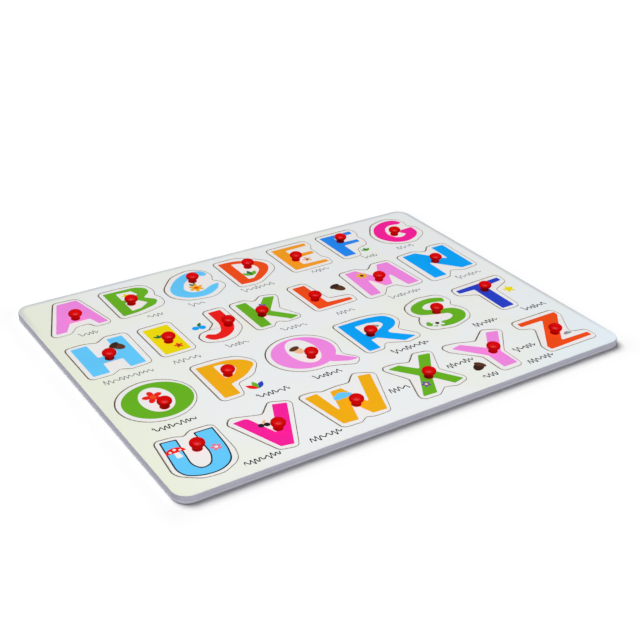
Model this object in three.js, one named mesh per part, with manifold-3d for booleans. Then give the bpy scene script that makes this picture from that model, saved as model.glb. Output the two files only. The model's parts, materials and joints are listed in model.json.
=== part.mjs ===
// Alphabet peg puzzle: a board of two glued sheets with a cut-out for each letter,
// and twenty-six loose letters, each with a plastic peg to lift it by.
// Millimetres, +Z up. The origin is the middle of the board's underside,
// +X runs along the rows of letters and +Y from the last row to the first.

import * as THREE from 'three';
import { mergeVertices } from 'three/addons/utils/BufferGeometryUtils.js';
import Module from 'manifold-3d';

const wasm = await Module();
wasm.setup();

// Board
const boardWidth = 300;
const boardDepth = 225;
const boardCornerRadius = 9;
const rimRound = 0.8; // rounding of the upper rim
const footRound = 0.4; // eased lower rim
const backThickness = 2; // sheet under the cut-outs
const faceThickness = 3; // sheet with the cut-outs, and the letters sawn from it

// Board left standing round the cut-outs
const leftRim = 6.3;
const rightRim = 9.7;
const topRim = 7.9;
const bottomRim = 8.6;
const bridge = 5.3; // between two cut-outs of a row
const rowStrip = 13.5; // between two rows of cut-outs

// Letters
const printMargin = 2.5; // white border sawn round a printed letter
const sawGap = 0.5; // play between a letter and its cut-out
const settleRight = 0.2; // how far the letters lie off the middle of their cut-outs
const settleDown = 0.1;
const outerRound = 0.8; // corner of a printed letter
const notchRound = 5.5; // inner corner of a printed letter

// Pegs
const pegNeckHeight = 1.8; // from the letter's face to where the head begins
const pegNeckDiameter = 5.3;
const pegFootFlare = 0.2; // how far the foot stands out past the neck
const pegHeadOverhang = 1.6; // how far the head stands out past the neck
const pegHeadRise = 1.9; // from the neck to the head's widest place
const pegCrownHeight = 2; // from there to the top
const spigotDiameter = 3;
const spigotClearance = 0.3; // all round, and below the spigot
const pegSides = 12;
const pegHeadSteps = 2; // facets below the head's widest place, and as many above it

// Facets
const ovalStep = 10; // degrees
const fineTurn = THREE.MathUtils.degToRad(12); // facet of a wide curve
const coarseTurn = THREE.MathUtils.degToRad(27); // facet of a tight corner
const wideCurve = 6; // radius that counts as wide
const cutThrough = 1; // how far a cutter stands past the sheet it cuts

// Colours and how matt each surface is
const orchid = 0xf080e0;
const green = 0x63b01c;
const sky = 0x60c8ff;
const vermilion = 0xf24c18;
const amber = 0xf3aa14;
const azure = 0x0c9cff;
const magenta = 0xf7219c;
const yellow = 0xf0e000;
const scarlet = 0xee2018;
const royal = 0x2a41cd;
const pegRed = 0xd40808;
const sheetWhite = 0xe6e8e4;
const backWhite = 0xc9c9d2;
const printRoughness = 0.5;
const backRoughness = 0.7;
const pegRoughness = 0.25;

// An oval as corner points, from one angle to another in degrees.
function oval(x, y, radiusX, radiusY, from = 0, to = 360 - ovalStep) {
  const points = [];
  for (let angle = from; angle <= to; angle += ovalStep) {
    const turn = THREE.MathUtils.degToRad(angle);
    points.push([x + radiusX * Math.cos(turn), y + radiusY * Math.sin(turn)]);
  }
  return points;
}

// Each letter, drawn on a grid from its lower left corner: its width, its colour, where its peg stands,
// and the outer form of the print with deep notches filled, as corners [x, y] or [x, y, rounding].
// nudge moves a letter along its row.
const letters = {
  A: {
    width: 33.5, colour: orchid, peg: [18.2, 14.9],
    form: [[0, 1], [7.5, 1], [13, 7], [24.5, 8], [27, 2], [33.5, 2], [27, 36], [15, 37]],
  },
  B: {
    width: 28.5, colour: green, peg: [11, 14.8],
    form: [
      [0, 2], [13, 2], [28, 6, 5], [28.5, 13, 4], [26, 18.5], [28.5, 24, 5], [27, 32.5, 5],
      [13, 35, 5], [0, 35],
    ],
  },
  C: {
    width: 34.5, colour: sky, peg: [19.9, 22.5], nudge: -1.2,
    form: [
      [8, 2, 9], [23, -0.5, 9], [34.5, 8, 4], [33.5, 12.5, 3], [28, 17], [32.5, 24, 3], [31.5, 31, 4],
      [24, 36, 8], [11, 32, 10], [-0.5, 19, 12], [0.5, 9, 8],
    ],
  },
  D: {
    width: 30.5, colour: vermilion, peg: [16.1, 22.1], nudge: -1.5,
    form: [[0, 1], [12, 0.5, 10], [30, 13, 9], [30.5, 24, 9], [15, 35.5, 12], [0, 35.5]],
  },
  E: {
    width: 27.5, colour: amber, peg: [8.5, 14.9], nudge: -1.8,
    form: [
      [0, 1], [26.5, 1], [27, 6], [24, 11], [24.5, 18, 4], [24, 25], [27.5, 30], [27.5, 35], [0, 35],
    ],
  },
  F: {
    width: 26, colour: azure, peg: [10.6, 23.5],
    form: [
      [0, 0.5], [9.5, 0.5], [12.5, 10], [23, 13], [24.5, 18, 4], [23, 25], [26, 29.5], [26, 35], [0, 35],
    ],
  },
  G: {
    width: 32.5, colour: magenta, peg: [13.5, 13.6],
    form: [
      [8, 2, 9], [20, -0.5, 9], [32, 7, 6], [32.5, 16, 3], [26.5, 20.5], [29.5, 26, 3], [28, 33, 4],
      [21, 36, 8], [9, 32.5, 10], [-0.5, 19, 12], [0.5, 8, 8],
    ],
  },
  H: {
    width: 33.5, colour: sky, peg: [16, 16.4],
    form: [
      [0, 1.8], [10, 1.5], [16.5, 5.5], [22.5, 2], [33, 2.5], [33.5, 37], [24, 38], [17, 33], [9.5, 36],
      [0, 36],
    ],
  },
  I: { width: 16.5, colour: yellow, peg: [8.1, 16], form: [[0, 3], [16.5, 3], [16.5, 35.5], [0, 35.5]] },
  J: {
    width: 24.5, colour: scarlet, peg: [19.6, 15.5],
    form: [
      [0, 9.5], [0.5, 5, 3], [8, 2, 6], [16, 2.5, 7], [24, 10, 9], [24.5, 35], [15.5, 35], [15, 20],
      [8, 13], [2, 12, 2],
    ],
  },
  K: {
    width: 27.5, colour: green, peg: [9, 15.3], nudge: -1.7,
    form: [
      [0, 2], [7.5, 2], [12.5, 8], [19, 3], [27, 3.5], [20, 17.5], [27.5, 33], [20.5, 35], [13, 29],
      [8, 35], [0, 35],
    ],
  },
  L: {
    width: 26, colour: vermilion, peg: [5.3, 15.3], nudge: 1.5,
    form: [[0.5, 3.5], [26, 3.5], [26, 8], [11.5, 10.5], [9, 35.5], [0, 35.5]],
  },
  M: {
    width: 39.5, colour: orchid, peg: [18.4, 16.9], nudge: 1.3,
    form: [
      [0.5, 0.5], [9, 0.5], [15.5, 8], [25, 8.5], [30, 1.5], [39.5, 2], [38, 35.5], [28, 36], [20.5, 29],
      [12.5, 35], [2.5, 35],
    ],
  },
  N: {
    width: 37, colour: azure, peg: [16.9, 19.4],
    form: [
      [0.5, -1], [10.5, -1], [17, 7.5], [27, 2.5], [36.5, 3.5], [37, 38], [27.5, 38.5], [21, 31.5],
      [12, 37], [0.5, 36],
    ],
  },
  O: { width: 40, colour: green, peg: [21, 9.8], form: oval(20, 18, 20, 18) },
  P: {
    width: 33, colour: amber, peg: [13.4, 20.6], nudge: 1.4,
    form: [[0, 0], [9.5, 0], [12, 12], [25, 15.5, 9], [33, 26, 5], [26, 34, 8], [14, 36.5, 6], [0.5, 36.5]],
  },
  Q: {
    width: 43, colour: orchid, peg: [21.7, 12.7],
    form: [...oval(20, 19, 20, 17.5, -20, 280), [31, -0.5], [40, -4.5], [43, -2], [36.5, 5.5]],
  },
  R: {
    width: 36.5, colour: azure, peg: [12, 15.8],
    form: [
      [0.5, 0.5], [8.5, 0.5], [13, 7], [28, 0], [36.5, 1.5], [27.5, 13.5], [36.5, 23, 6], [34, 31, 6],
      [21, 34.5, 8], [0, 34],
    ],
  },
  S: {
    width: 33, colour: green, peg: [16.3, 17.6],
    form: [
      [0.5, 9, 3], [2, 3, 4], [15, -0.5, 9], [31, 4, 9], [33, 13, 7], [26.5, 21], [32, 27, 3], [30, 34, 5],
      [16, 36, 9], [3, 31, 8], [2.5, 22, 7], [8.5, 16.5], [3, 13.5, 2],
    ],
  },
  T: {
    width: 37, colour: royal, peg: [17.9, 25.2],
    form: [[12.5, 0], [21.5, 0], [22.5, 24], [36, 29.5], [37, 35.5], [1, 34], [0, 29], [13, 24]],
  },
  U: {
    width: 32.5, colour: sky, peg: [17.8, 21.7],
    form: [
      [0, 8, 6], [10, 0.5, 8], [20, -0.5, 8], [30, 4.5, 8], [32, 13, 8], [32.5, 35], [22.5, 35.5],
      [17, 31.5], [11.5, 34.5], [3, 35.5],
    ],
  },
  V: {
    width: 36, colour: magenta, peg: [18.7, 15.8],
    form: [[11.5, 1], [18.5, -0.5], [35.5, 33.5], [27.5, 37], [19, 28], [9, 31.5], [2, 34], [0, 31.5]],
  },
  W: {
    width: 46.5, colour: amber, peg: [21.2, 13.2], nudge: -1.6,
    form: [
      [5, 0.5], [13.5, 0], [19, 3.5], [24, 1], [32.5, 1], [46, 33.5], [38, 37.5], [31, 30.5],
      [22, 31.5, 6], [11.5, 30.5], [7, 33], [0, 33.5],
    ],
  },
  X: {
    width: 32.5, colour: green, peg: [16.6, 15.3], nudge: -3.4,
    form: [
      [1.5, 0], [10, -0.5], [17.5, 5], [25.5, 2], [32.5, 4], [24, 18.5], [32.5, 36], [25, 37.5], [17, 30],
      [8.5, 33.5], [0.5, 34], [8.5, 18.5],
    ],
  },
  Y: {
    width: 40, colour: orchid, peg: [21.5, 17.7], nudge: -2.2,
    form: [
      [15, 0], [25, 0], [25.5, 16], [40, 34.5], [32.5, 38], [20.5, 29], [8, 34], [0, 35], [1, 31], [15, 17],
    ],
  },
  Z: {
    width: 34, colour: vermilion, peg: [16, 15.1], nudge: -1,
    form: [
      [0.5, 1.5], [33.5, 1], [33.5, 6.5], [20.5, 9.5], [33, 31], [32.5, 35.5], [3, 35.5], [2.5, 30.5],
      [13.5, 27], [0.5, 6],
    ],
  },
};

const rows = ['ABCDEFG', 'HIJKLMN', 'OPQRST', 'UVWXYZ'];
const gridHeight = Math.max(...letters.O.form.map(([, y]) => y)); // the O fills its row from top to bottom

// Where two straight lines meet, each given by a point and a direction.
function meet(pointA, alongA, pointB, alongB) {
  const across = alongA.cross(alongB);
  const share = pointB.clone().sub(pointA).cross(alongB) / across;
  return pointA.clone().addScaledVector(alongA, share);
}

// A closed outline grown outwards by a distance, its corners rounded: an outer corner's radius
// grows with it and an inner corner's shrinks. A rounding never takes more than its two sides have.
function roundedLoop(corners, grow) {
  const count = corners.length;
  const points = corners.map(([x, y]) => new THREE.Vector2(x, y));
  const along = points.map((point, i) => points[(i + 1) % count].clone().sub(point).normalize());
  const outward = along.map(({ x, y }) => new THREE.Vector2(y, -x));
  const moved = points.map((point, i) => point.clone().addScaledVector(outward[i], grow));
  const grown = points.map((_, i) => {
    const before = (i + count - 1) % count;
    return meet(moved[before], along[before], moved[i], along[i]);
  });
  const turns = points.map((_, i) => {
    const before = along[(i + count - 1) % count];
    return Math.atan2(before.cross(along[i]), before.dot(along[i]));
  });
  const radii = corners.map(([, , rounding], i) => {
    if (turns[i] > 0) {
      return (rounding ?? outerRound) + grow;
    }
    return Math.max((rounding ?? notchRound) - grow, outerRound);
  });
  const taken = turns.map((turn, i) => {
    return Math.abs(turn) < coarseTurn ? 0 : radii[i] * Math.tan(Math.abs(turn) / 2);
  });
  const sideShare = grown.map((point, i) => {
    const next = (i + 1) % count;
    return Math.min(1, point.distanceTo(grown[next]) / Math.max(taken[i] + taken[next], outerRound));
  });

  const loop = [];
  grown.forEach((corner, i) => {
    const before = (i + count - 1) % count;
    const back = taken[i] * Math.min(sideShare[before], sideShare[i]);
    if (back === 0) {
      loop.push(corner);
      return;
    }
    const radius = back / Math.tan(Math.abs(turns[i]) / 2);
    const side = Math.sign(turns[i]);
    const start = corner.clone().addScaledVector(along[before], -back);
    const centre = start.clone().addScaledVector(outward[before], -side * radius);
    const steps = Math.ceil(Math.abs(turns[i]) / (radius > wideCurve ? fineTurn : coarseTurn));
    for (let step = 0; step <= steps; step += 1) {
      loop.push(start.clone().rotateAround(centre, (turns[i] * step) / steps));
    }
  });
  return loop;
}

// A closed solid through a stack of outlines with as many points each, given as [height, outline].
function stack(levels) {
  const size = levels[0][1].length;
  const vertices = levels.flatMap(([height, loop]) => loop.flatMap((point) => [point.x, point.y, height]));
  const faces = [];
  for (let level = 0; level + 1 < levels.length; level += 1) {
    for (let i = 0; i < size; i += 1) {
      const low = level * size + i;
      const lowNext = level * size + ((i + 1) % size);
      faces.push(low, lowNext, lowNext + size, low, lowNext + size, low + size);
    }
  }
  const top = (levels.length - 1) * size;
  THREE.ShapeUtils.triangulateShape(levels[0][1], []).forEach(([a, b, c]) => faces.push(a, c, b));
  THREE.ShapeUtils.triangulateShape(levels[levels.length - 1][1], []).forEach(([a, b, c]) => {
    faces.push(top + a, top + b, top + c);
  });
  const geometry = new THREE.BufferGeometry();
  geometry.setAttribute('position', new THREE.Float32BufferAttribute(vertices, 3));
  geometry.setIndex(faces);
  return geometry;
}

function solidFrom(geometry) {
  const bare = geometry.clone();
  bare.deleteAttribute('normal');
  bare.deleteAttribute('uv');
  const merged = mergeVertices(bare);
  return new wasm.Manifold(new wasm.Mesh({
    numProp: 3,
    vertProperties: new Float32Array(merged.attributes.position.array),
    triVerts: new Uint32Array(merged.index.array),
  }));
}

function geometryFrom(solid) {
  const mesh = solid.getMesh();
  const geometry = new THREE.BufferGeometry();
  geometry.setAttribute('position', new THREE.BufferAttribute(mesh.vertProperties, mesh.numProp));
  geometry.setIndex(new THREE.BufferAttribute(mesh.triVerts, 1));
  geometry.computeVertexNormals();
  return geometry;
}

function namedMesh(name, geometry, colour, roughness) {
  const material = new THREE.MeshStandardMaterial({ color: colour, roughness, metalness: 0 });
  const mesh = new THREE.Mesh(geometry, material);
  mesh.name = name;
  return mesh;
}

// The board's outline, drawn in by a distance.
function boardLoop(inset) {
  const x = boardWidth / 2;
  const y = boardDepth / 2;
  const corners = [[-x, -y], [x, -y], [x, y], [-x, y]];
  return roundedLoop(corners.map(([cornerX, cornerY]) => [cornerX, cornerY, boardCornerRadius]), -inset);
}

// Every cut-out's place and its letter's form in millimetres. The letters are stretched a little, so that the
// rows fill the board between its rims.
function layOut() {
  const around = printMargin + sawGap;
  const rowsDepth = boardDepth - topRim - bottomRim - rowStrip * (rows.length - 1);
  const letterHeight = rowsDepth / rows.length - 2 * around;
  const tall = letterHeight / gridHeight;
  const places = [];
  rows.forEach((row, rowIndex) => {
    const names = [...row];
    const gridWidth = names.reduce((sum, name) => sum + letters[name].width, 0);
    const rowWidth = boardWidth - leftRim - rightRim - bridge * (names.length - 1);
    const wide = (rowWidth - 2 * around * names.length) / gridWidth;
    const rowPitch = letterHeight + 2 * around + rowStrip;
    const baseline = boardDepth / 2 - topRim - around - letterHeight - rowIndex * rowPitch;
    let left = leftRim + around - boardWidth / 2;
    names.forEach((name) => {
      const { width, colour, peg, form, nudge = 0 } = letters[name];
      places.push({
        name,
        colour,
        x: left + nudge * wide,
        y: baseline,
        peg: [peg[0] * wide, peg[1] * tall],
        form: form.map(([x, y, rounding]) => [x * wide, y * tall, rounding]),
      });
      left += width * wide + 2 * around + bridge;
    });
  });
  return places;
}

function backSheet() {
  return stack([
    [0, boardLoop(footRound)],
    [footRound, boardLoop(0)],
    [backThickness, boardLoop(0)],
  ]);
}

// The upper sheet, its rim rounded in two steps, with a cut-out right through it for every letter.
function faceSheet(places) {
  const top = backThickness + faceThickness;
  const part = Math.SQRT1_2;
  let sheet = solidFrom(stack([
    [backThickness, boardLoop(0)],
    [top - rimRound, boardLoop(0)],
    [top - rimRound * (1 - part), boardLoop(rimRound * (1 - part))],
    [top, boardLoop(rimRound)],
  ]));
  places.forEach(({ x, y, form }) => {
    const cutter = new THREE.ExtrudeGeometry(new THREE.Shape(roundedLoop(form, printMargin + sawGap)), {
      depth: faceThickness + 2 * cutThrough,
      bevelEnabled: false,
    });
    cutter.translate(x, y, backThickness - cutThrough);
    sheet = sheet.subtract(solidFrom(cutter));
  });
  return geometryFrom(sheet);
}

// A letter sawn out round its print, with the hole that its peg's spigot goes into.
function letterPiece(form, peg) {
  const shape = new THREE.Shape(roundedLoop(form, printMargin));
  const hole = new THREE.Path();
  hole.absarc(peg[0], peg[1], spigotDiameter / 2 + spigotClearance, 0, 2 * Math.PI, true);
  shape.holes.push(new THREE.Path(hole.getPoints(pegSides / 2).slice(0, -1)));
  return new THREE.ExtrudeGeometry(shape, { depth: faceThickness, bevelEnabled: false });
}

// A turned peg: spigot, foot, neck and a head that widens from the neck and closes in a low crown.
// It stands on the letter's face at z = 0.
function pegGeometry() {
  const neckRadius = pegNeckDiameter / 2;
  const headRadius = neckRadius + pegHeadOverhang;
  const spigotEnd = spigotClearance - faceThickness;
  const neckTurn = Math.acos(neckRadius / headRadius);
  const widest = pegNeckHeight + pegHeadRise;
  const profile = [
    new THREE.Vector2(0, spigotEnd),
    new THREE.Vector2(spigotDiameter / 2, spigotEnd),
    new THREE.Vector2(spigotDiameter / 2, 0),
    new THREE.Vector2(neckRadius + pegFootFlare, 0),
  ];
  for (let step = -pegHeadSteps; step < pegHeadSteps; step += 1) {
    const fullTurn = step < 0 ? neckTurn : Math.PI / 2;
    const fullHeight = step < 0 ? pegHeadRise / Math.sin(neckTurn) : pegCrownHeight;
    const turn = (fullTurn * step) / pegHeadSteps;
    profile.push(new THREE.Vector2(headRadius * Math.cos(turn), widest + fullHeight * Math.sin(turn)));
  }
  profile.push(new THREE.Vector2(0, widest + pegCrownHeight));
  return new THREE.LatheGeometry(profile, pegSides).rotateX(Math.PI / 2);
}

const places = layOut();
const puzzle = new THREE.Group();
puzzle.add(namedMesh('back_board', backSheet(), backWhite, backRoughness));
puzzle.add(namedMesh('pocket_board', faceSheet(places), sheetWhite, printRoughness));

places.forEach(({ name, colour, x, y, peg, form }) => {
  const set = new THREE.Group();
  set.position.set(x + settleRight, y - settleDown, backThickness);
  set.add(namedMesh(`letter_${name}`, letterPiece(form, peg), colour, printRoughness));
  const knob = namedMesh(`peg_${name}`, pegGeometry(), pegRed, pegRoughness);
  knob.position.set(peg[0], peg[1], faceThickness);
  set.add(knob);
  puzzle.add(set);
});

export default puzzle;
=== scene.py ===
import bpy
import bmesh
import json
import math
from mathutils import Matrix, Vector

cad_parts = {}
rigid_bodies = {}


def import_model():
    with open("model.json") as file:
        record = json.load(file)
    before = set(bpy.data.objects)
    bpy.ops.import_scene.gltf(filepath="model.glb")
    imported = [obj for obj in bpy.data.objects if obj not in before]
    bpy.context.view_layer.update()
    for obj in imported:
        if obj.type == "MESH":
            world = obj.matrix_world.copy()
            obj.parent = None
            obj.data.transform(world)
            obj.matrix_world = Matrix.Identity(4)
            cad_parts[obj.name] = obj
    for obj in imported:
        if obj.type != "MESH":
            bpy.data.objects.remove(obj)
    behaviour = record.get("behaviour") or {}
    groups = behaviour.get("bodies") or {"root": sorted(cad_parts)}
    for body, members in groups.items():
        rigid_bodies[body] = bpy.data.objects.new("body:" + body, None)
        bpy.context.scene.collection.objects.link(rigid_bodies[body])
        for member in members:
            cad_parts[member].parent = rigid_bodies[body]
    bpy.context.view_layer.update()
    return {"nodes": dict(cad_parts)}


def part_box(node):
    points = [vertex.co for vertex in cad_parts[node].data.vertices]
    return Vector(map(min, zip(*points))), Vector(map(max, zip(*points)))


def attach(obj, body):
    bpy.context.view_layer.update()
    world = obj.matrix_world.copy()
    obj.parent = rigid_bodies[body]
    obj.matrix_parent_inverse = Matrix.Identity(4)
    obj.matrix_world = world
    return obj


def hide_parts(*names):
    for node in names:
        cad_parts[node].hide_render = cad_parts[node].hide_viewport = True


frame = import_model()
mm = 0.001
alphabet = "ABCDEFGHIJKLMNOPQRSTUVWXYZ"
boardLow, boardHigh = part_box("back_board")
boardCorner = 9 * mm
print("frame loaded:", len(frame["nodes"]), "nodes")


# Selecting, editing and applying

def selectOnly(obj):
    bpy.ops.object.select_all(action='DESELECT')
    obj.select_set(True)
    bpy.context.view_layer.objects.active = obj


def applyModifier(obj, kind, **settings):
    selectOnly(obj)
    bpy.ops.object.modifier_add(type=kind)
    modifier = obj.modifiers[-1]
    for key, value in settings.items():
        setattr(modifier, key, value)
    bpy.ops.object.modifier_apply(modifier=modifier.name)


def selectEdges(obj, wanted):
    bpy.ops.mesh.select_mode(type='EDGE')
    bpy.ops.mesh.select_all(action='DESELECT')
    mesh = bmesh.from_edit_mesh(obj.data)
    for edge in mesh.edges:
        if len(edge.link_faces) == 2 and wanted(edge):
            edge.select_set(True)
    bmesh.update_edit_mesh(obj.data)


def addMaterials(obj, *materials):
    for material in materials:
        obj.data.materials.append(material)


def paint(red, green, blue):                      # a colour picked on screen, 0 to 255, made linear
    channels = [c / 255 for c in (red, green, blue)]
    return [c / 12.92 if c < 0.04045 else ((c + 0.055) / 1.055) ** 2.4 for c in channels] + [1.0]


# Shared surface effects, as node groups

def newGroup(name, inputs, outputs):
    group = bpy.data.node_groups.new(name, 'ShaderNodeTree')
    for label, kind, value in inputs:
        socket = group.interface.new_socket(name=label, in_out='INPUT', socket_type=kind)
        if value is not None:
            socket.default_value = value
    for label, kind in outputs:
        group.interface.new_socket(name=label, in_out='OUTPUT', socket_type=kind)
    return group, group.nodes.new('NodeGroupInput'), group.nodes.new('NodeGroupOutput')


def addNode(tree, kind, **settings):
    node = tree.nodes.new(kind)
    for key, value in settings.items():
        setattr(node, key, value)
    return node


def noiseNode(tree, vector, scale, detail=4.0, roughness=0.55):
    noise = addNode(tree, 'ShaderNodeTexNoise')
    tree.links.new(vector, noise.inputs['Vector'])
    noise.inputs['Scale'].default_value = scale
    noise.inputs['Detail'].default_value = detail
    noise.inputs['Roughness'].default_value = roughness
    return noise


def rangeNode(tree, value, fromLow, fromHigh, toLow, toHigh):
    spread = addNode(tree, 'ShaderNodeMapRange')
    tree.links.new(value, spread.inputs['Value'])
    labels = ('From Min', 'From Max', 'To Min', 'To Max')
    for label, number in zip(labels, (fromLow, fromHigh, toLow, toHigh)):
        spread.inputs[label].default_value = number
    return spread.outputs['Result']


def mixNode(tree, factor, first, second, blend='MIX'):
    mix = addNode(tree, 'ShaderNodeMix', data_type='RGBA', blend_type=blend)
    for label, value in ((0, factor), (6, first), (7, second)):
        if isinstance(value, bpy.types.NodeSocket):
            tree.links.new(value, mix.inputs[label])
        else:
            mix.inputs[label].default_value = value
    return mix.outputs[2]


def mathNode(tree, operation, first, second):
    node = addNode(tree, 'ShaderNodeMath', operation=operation)
    for place, value in enumerate((first, second)):
        if isinstance(value, bpy.types.NodeSocket):
            tree.links.new(value, node.inputs[place])
        else:
            node.inputs[place].default_value = value
    return node.outputs[0]


def distanceNode(tree, vector, inset):            # how far a place lies outside the board less its inset
    half = (boardHigh.x - inset, boardHigh.y - inset, 1)
    for operation, other in (('ABSOLUTE', (0, 0, 0)), ('SUBTRACT', half), ('MAXIMUM', (0, 0, 0))):
        step = addNode(tree, 'ShaderNodeVectorMath', operation=operation)
        tree.links.new(vector, step.inputs[0])
        step.inputs[1].default_value = other
        vector = step.outputs[0]
    length = addNode(tree, 'ShaderNodeVectorMath', operation='LENGTH')
    tree.links.new(vector, length.inputs[0])
    return length.outputs['Value']


# How fine each noise is, as waves in a metre, and how strongly it shows
paperGrain = {"cloud": 26, "tooth": 2600, "peel": 420, "smear": 90, "toothRelief": 0.35}
fibreGrain = {"fleck": 1500, "streak": 1100, "streakLength": 0.12, "roughening": 0.12}


# Lacquered paper: soft blotches, a fine tooth and a faint orange peel
def makePaperGroup(grain):
    group, given, result = newGroup(
        "lacqueredPaper",
        [("Vector", 'NodeSocketVector', None), ("Colour", 'NodeSocketColor', (1, 1, 1, 1)),
         ("Blotch Colour", 'NodeSocketColor', (1, 1, 1, 1)), ("Blotch", 'NodeSocketFloat', 0.3),
         ("Tooth", 'NodeSocketFloat', 0.04), ("Gloss Spread", 'NodeSocketFloat', 0.08),
         ("Roughness", 'NodeSocketFloat', 0.45)],
        [("Colour", 'NodeSocketColor'), ("Roughness", 'NodeSocketFloat'), ("Height", 'NodeSocketFloat')])
    vector = given.outputs['Vector']
    cloud = noiseNode(group, vector, grain["cloud"], 3)
    tooth = noiseNode(group, vector, grain["tooth"], 2)
    peel = noiseNode(group, vector, grain["peel"], 3)
    smear = noiseNode(group, vector, grain["smear"], 5, 0.65)
    patches = rangeNode(group, cloud.outputs[0], 0.46, 0.68, 0, 1)
    mask = mathNode(group, 'MULTIPLY', patches, given.outputs['Blotch'])
    tinted = mixNode(group, mask, given.outputs['Colour'], given.outputs['Blotch Colour'])
    flecks = rangeNode(group, tooth.outputs[0], 0.3, 0.7, -1, 1)
    lightness = mathNode(group, 'ADD', mathNode(group, 'MULTIPLY', flecks, given.outputs['Tooth']), 1.0)
    scaled = addNode(group, 'ShaderNodeVectorMath', operation='SCALE')
    group.links.new(tinted, scaled.inputs[0])
    group.links.new(lightness, scaled.inputs['Scale'])
    group.links.new(scaled.outputs[0], result.inputs['Colour'])
    shine = rangeNode(group, smear.outputs[0], 0.3, 0.7, -1, 1)
    uneven = mathNode(group, 'MULTIPLY', shine, given.outputs['Gloss Spread'])
    group.links.new(mathNode(group, 'ADD', uneven, given.outputs['Roughness']), result.inputs['Roughness'])
    raised = mathNode(group, 'MULTIPLY', tooth.outputs[0], grain["toothRelief"])
    relief = mathNode(group, 'ADD', peel.outputs[0], raised)
    group.links.new(relief, result.inputs['Height'])
    return group


# Pressed wood fibre: short flecks, and streaks that stand upright on a sawn edge
def makeFibreGroup(grain):
    group, given, result = newGroup(
        "pressedFibre",
        [("Vector", 'NodeSocketVector', None), ("Colour", 'NodeSocketColor', (1, 1, 1, 1)),
         ("Dark Colour", 'NodeSocketColor', (0, 0, 0, 1)), ("Flecks", 'NodeSocketFloat', 0.5),
         ("Streaks", 'NodeSocketFloat', 0.5), ("Roughness", 'NodeSocketFloat', 0.7)],
        [("Colour", 'NodeSocketColor'), ("Roughness", 'NodeSocketFloat'), ("Height", 'NodeSocketFloat')])
    stretch = addNode(group, 'ShaderNodeMapping')
    stretch.inputs['Scale'].default_value = (1, 1, grain["streakLength"])
    group.links.new(given.outputs['Vector'], stretch.inputs['Vector'])
    fleck = noiseNode(group, given.outputs['Vector'], grain["fleck"], 4, 0.7)
    streak = noiseNode(group, stretch.outputs[0], grain["streak"], 4, 0.6)
    fleckMask = rangeNode(group, fleck.outputs[0], 0.42, 0.72, 0, 1)
    streakMask = rangeNode(group, streak.outputs[0], 0.4, 0.7, 0, 1)
    weighed = mathNode(group, 'ADD', mathNode(group, 'MULTIPLY', fleckMask, given.outputs['Flecks']),
                       mathNode(group, 'MULTIPLY', streakMask, given.outputs['Streaks']))
    tinted = mixNode(group, weighed, given.outputs['Colour'], given.outputs['Dark Colour'])
    group.links.new(tinted, result.inputs['Colour'])
    coarse = mathNode(group, 'MULTIPLY', weighed, grain["roughening"])
    rough = mathNode(group, 'ADD', coarse, given.outputs['Roughness'])
    group.links.new(rough, result.inputs['Roughness'])
    group.links.new(weighed, result.inputs['Height'])
    return group


paperGroup = makePaperGroup(paperGrain)
fibreGroup = makeFibreGroup(fibreGrain)
print("surface effects ready")


# Materials

def newMaterial(name):
    material = bpy.data.materials.new(name)
    material.use_nodes = True
    tree = material.node_tree
    vector = addNode(tree, 'ShaderNodeTexCoord').outputs['Object']
    return material, tree, tree.nodes['Principled BSDF'], vector


def addRelief(tree, shader, height, strength, distance):
    bump = addNode(tree, 'ShaderNodeBump')
    bump.inputs['Strength'].default_value = strength
    bump.inputs['Distance'].default_value = distance
    tree.links.new(height, bump.inputs['Height'])
    tree.links.new(bump.outputs[0], shader.inputs['Normal'])


def placeGroup(tree, group, vector, values):
    node = addNode(tree, 'ShaderNodeGroup', node_tree=group)
    tree.links.new(vector, node.inputs['Vector'])
    for label, value in values.items():
        if isinstance(value, bpy.types.NodeSocket):
            tree.links.new(value, node.inputs[label])
        else:
            node.inputs[label].default_value = value
    return node


paperFinish = {"relief": (0.25, 0.02 * mm), "gloss": 0.006}   # relief: strength and depth
fibreFinish = {"relief": (0.35, 0.06 * mm), "gloss": 0.04, "footShadeFrom": 0.1 * mm, "footShadeTo": 0.9 * mm}


def connectSurface(tree, shader, effect, finish):
    tree.links.new(effect.outputs['Colour'], shader.inputs['Base Color'])
    tree.links.new(effect.outputs['Roughness'], shader.inputs['Roughness'])
    addRelief(tree, shader, effect.outputs['Height'], *finish["relief"])
    shader.inputs['Specular IOR Level'].default_value = finish["gloss"]


def paperMaterial(name, colour, **values):
    material, tree, shader, vector = newMaterial(name)
    values = dict({"Colour": colour, "Blotch Colour": colour}, **values)
    effect = placeGroup(tree, paperGroup, vector, values)
    connectSurface(tree, shader, effect, paperFinish)
    return material


def fibreMaterial(name, colour, dark, foot=None, **values):   # foot: a darker colour near the floor, painted shade where the side meets the floor
    material, tree, shader, vector = newMaterial(name)
    # painted shade: towards the floor the colour turns into the darker foot colour
    if foot:
        split = addNode(tree, 'ShaderNodeSeparateXYZ')
        tree.links.new(vector, split.inputs[0])
        height = rangeNode(tree, split.outputs['Z'], fibreFinish["footShadeFrom"], fibreFinish["footShadeTo"], 0, 1)
        colour = mixNode(tree, height, foot, colour)
    effect = placeGroup(tree, fibreGroup, vector, dict({"Colour": colour, "Dark Colour": dark}, **values))
    connectSurface(tree, shader, effect, fibreFinish)
    return material


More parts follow.
